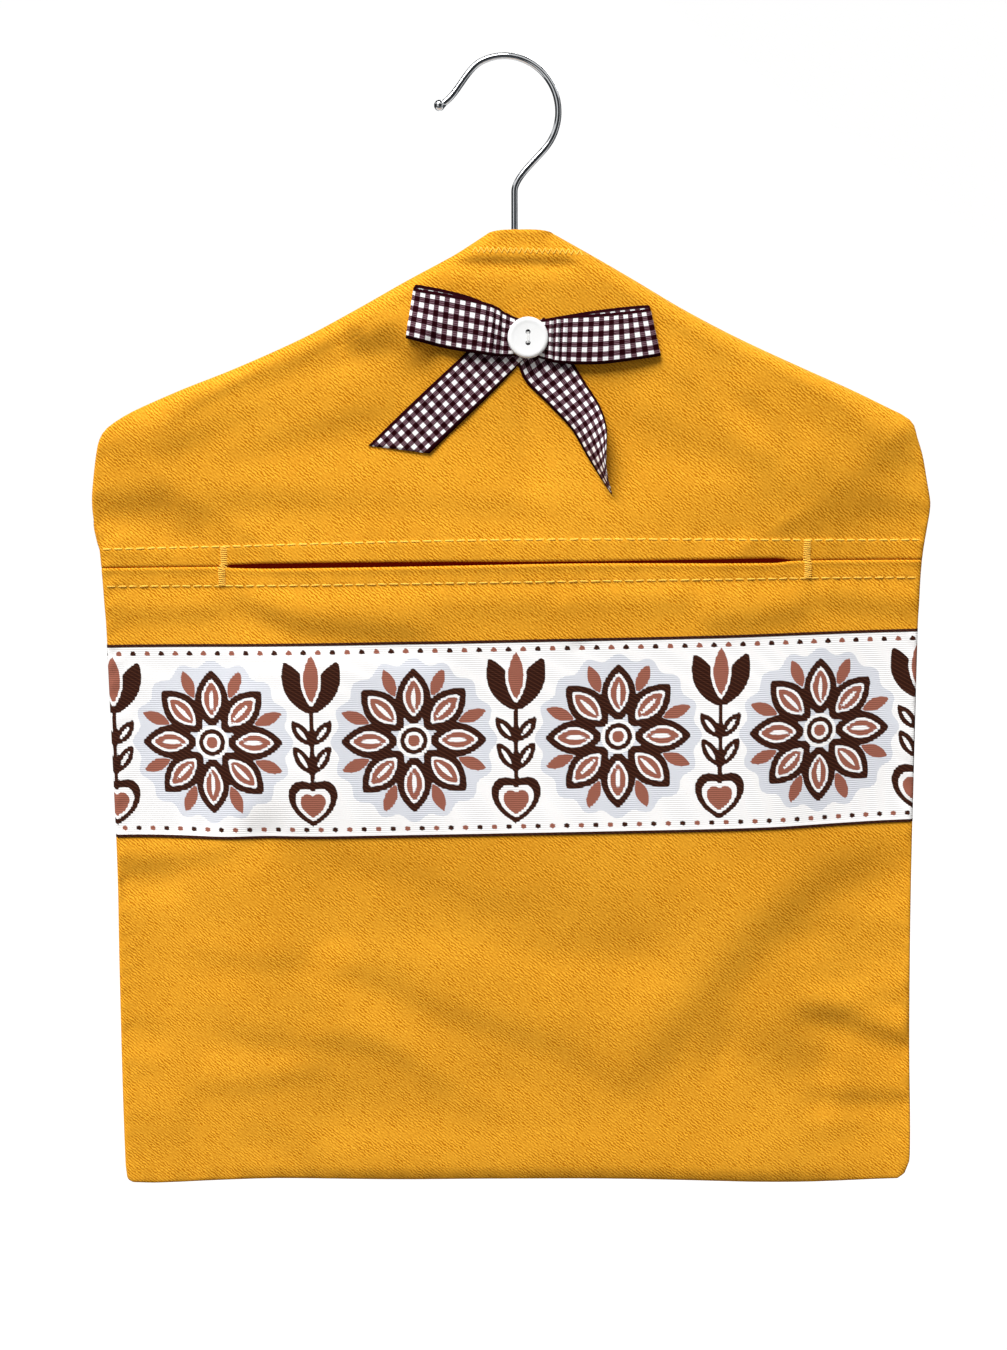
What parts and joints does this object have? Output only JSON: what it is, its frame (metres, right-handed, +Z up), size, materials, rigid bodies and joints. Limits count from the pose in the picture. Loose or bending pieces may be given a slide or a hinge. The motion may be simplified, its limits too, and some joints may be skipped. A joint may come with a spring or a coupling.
{
  "type": "peg bag",
  "caption": "Cloth pouch sewn round a wooden coat hanger, with a slit mouth in front for clothes pegs, a woven band, a ribbon bow and a turning wire hook to hang it by.",
  "frame": {"origin": "inside of the hook's bend, straight above the shank, where the bag hangs", "axes": "+Z up along the shank, +X to the right as seen from the front, +Y to the back, so the mouth and the bow face -Y"},
  "size_m": [0.4, 0.0296, 0.5484],
  "materials": {
    "twill": "ochre cotton twill",
    "thread": "ochre sewing thread",
    "beech": "lacquered beech",
    "chrome_wire": "bright plated wire",
    "washer_steel": "zinc plated",
    "woven_trim": "woven ribbon with a border pattern",
    "gingham": "checked woven ribbon",
    "shell": "white shell button"
  },
  "bodies": {
    "hook": {"hanger_hook": "chrome_wire"},
    "bag": {"hook_washer": "washer_steel", "hanger_body": "beech", "back_panel": "twill", "upper_front_panel": "twill", "lower_front_panel": "twill", "ribbon_band": "woven_trim", "upper_topstitch": "thread", "lower_topstitch_left": "thread", "lower_topstitch_right": "thread", "neck_zigzag_front": "thread", "neck_zigzag_back": "thread", "bar_tack_left": "thread", "bar_tack_right": "thread", "bow_left_tail": "gingham", "bow_right_tail": "gingham", "bow_loops": "gingham", "button": "shell", "button_thread": "thread"},
    "lower_lip": {"mouth_lip": "twill", "lip_topstitch": "thread"}
  },
  "joints": [
    {"name": "hook_swivel", "type": "hinge", "parent": "hook", "child": "bag", "pos_m": [0, 0, -0.1], "axis": [0, 0, 1], "continuous": true},
    {"name": "mouth_opening", "type": "hinge", "parent": "bag", "child": "lower_lip", "pos_m": [0, -0.01245, -0.2619], "axis": [1, 0, 0], "range_deg": [0, 60], "stiffness_Nm_per_rad": 0.004}
  ]
}
